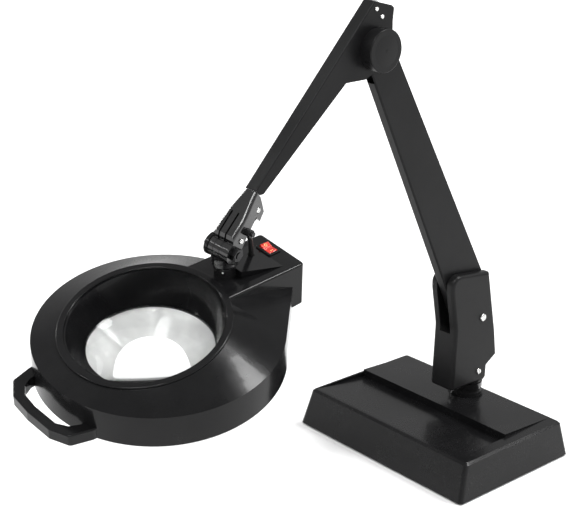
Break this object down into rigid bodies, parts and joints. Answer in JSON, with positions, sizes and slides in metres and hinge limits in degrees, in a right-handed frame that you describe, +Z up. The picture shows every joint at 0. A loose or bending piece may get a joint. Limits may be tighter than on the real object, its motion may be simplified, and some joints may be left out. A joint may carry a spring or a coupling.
{
  "type": "magnifying lamp",
  "caption": "Desk magnifying lamp: weighted base, swivel post, folding sprung arms, and a round lit lens head with a handle, on a tilting and swivelling yoke.",
  "frame": {"origin": "centre of the base's underside, at the lower face of the rubber pad that it stands on", "axes": "+X to the right along the base's long side, +Y to the back, +Z up; the head reaches out towards -Y"},
  "size_m": [0.2693, 0.6168, 0.5271],
  "materials": {
    "textured_black": "gloss",
    "iron": "matte",
    "zinc_steel": "satin",
    "rubber": "matte",
    "turned_steel": "satin",
    "polished_black": "gloss",
    "black_plastic": "satin",
    "bright_steel": "gloss",
    "nylon": "matte",
    "arm_paint": "satin",
    "spring_steel": "satin",
    "cast_black": "gloss",
    "dark_steel": "gloss",
    "cord_black": "matte",
    "gloss_black": "gloss",
    "lens_glass": "gloss",
    "white_enamel": "gloss",
    "tube_glass": "satin",
    "white_plastic": "satin",
    "red_rocker": "gloss",
    "mark_yellow": "matte"
  },
  "bodies": {
    "base": {"base_cover": "textured_black", "base_weight": "iron", "bottom_plate": "zinc_steel", "bottom_screws": "zinc_steel", "base_pad": "rubber", "post_socket": "turned_steel", "cord_grommet": "rubber"},
    "post": {"post_shaft": "turned_steel", "post_collar": "polished_black", "shoulder_bracket": "zinc_steel", "shoulder_spring_pin": "turned_steel", "shroud": "black_plastic", "shoulder_bolt": "bright_steel", "shoulder_nut": "bright_steel", "shroud_screws": "bright_steel", "shoulder_washers": "nylon"},
    "lower_arm": {"lower_arm_channel": "arm_paint", "lower_arm_cover": "arm_paint", "pivot_bushes": "nylon", "lower_arm_pins": "turned_steel", "lower_spring": "spring_steel"},
    "forearm": {"forearm_channel": "arm_paint", "forearm_end_block": "zinc_steel", "forearm_rivets": "bright_steel", "elbow_stop": "zinc_steel", "forearm_spring_pin": "turned_steel", "forearm_spring": "spring_steel", "elbow_bolt": "bright_steel", "elbow_washers": "nylon", "elbow_spacer": "black_plastic", "elbow_cap": "black_plastic"},
    "yoke_body": {"yoke": "cast_black", "yoke_stud": "turned_steel", "yoke_screws": "bright_steel", "lead_gland": "rubber", "tilt_bolt": "dark_steel", "tilt_nut": "dark_steel", "clamp_bolt": "dark_steel"},
    "stem": {"tilt_lug": "cast_black", "swivel_shaft": "turned_steel", "swivel_nut": "zinc_steel", "head_lead": "cord_black"},
    "head": {"shade": "gloss_black", "lens_ring": "gloss_black", "lens": "lens_glass", "lens_retainer": "black_plastic", "inner_reflector": "white_enamel", "lamp_tube": "tube_glass", "lamp_base": "white_plastic", "lamp_clips": "spring_steel", "ballast": "iron", "tail_cover": "black_plastic", "tail_screws": "zinc_steel", "ramp_panel": "gloss_black", "swivel_block": "cast_black", "block_screws": "bright_steel", "swivel_plate": "zinc_steel", "switch_body": "black_plastic"},
    "rocker_body": {"rocker": "red_rocker", "rocker_marks": "mark_yellow"}
  },
  "joints": [
    {"name": "base_swivel", "type": "hinge", "parent": "base", "child": "post", "pos_m": [0, 0.055, 0.0473], "axis": [0, 0, 1], "range_deg": [-150, 150]},
    {"name": "shoulder", "type": "hinge", "parent": "post", "child": "lower_arm", "pos_m": [0, 0.055, 0.146], "axis": [1, 0, 0], "range_deg": [-25, 35], "deforming": ["lower_spring"]},
    {"name": "elbow", "type": "hinge", "parent": "lower_arm", "child": "forearm", "pos_m": [0, -0.1345, 0.478], "axis": [1, 0, 0], "range_deg": [-60, 25], "deforming": ["forearm_spring"]},
    {"name": "yoke_roll", "type": "hinge", "parent": "forearm", "child": "yoke_body", "pos_m": [0, -0.28366, 0.35508], "axis": [0, -0.6652, -0.7466], "range_deg": [-45, 45]},
    {"name": "head_tilt", "type": "hinge", "parent": "yoke_body", "child": "stem", "pos_m": [-0.00278, -0.31607, 0.30333], "axis": [0.9649, 0.196, -0.1746], "range_deg": [-40, 25], "deforming": ["head_lead"]},
    {"name": "head_swivel", "type": "hinge", "parent": "stem", "child": "head", "pos_m": [-0.00649, -0.31264, 0.28668], "axis": [0.2132, -0.1971, 0.9569], "range_deg": [-60, 60], "deforming": ["head_lead"]},
    {"name": "rocker_press", "type": "hinge", "parent": "head", "child": "rocker_body", "pos_m": [-0.01656, -0.24873, 0.2836], "axis": [-0.0037, 0.9896, 0.1437], "range_deg": [-18, 0]}
  ]
}
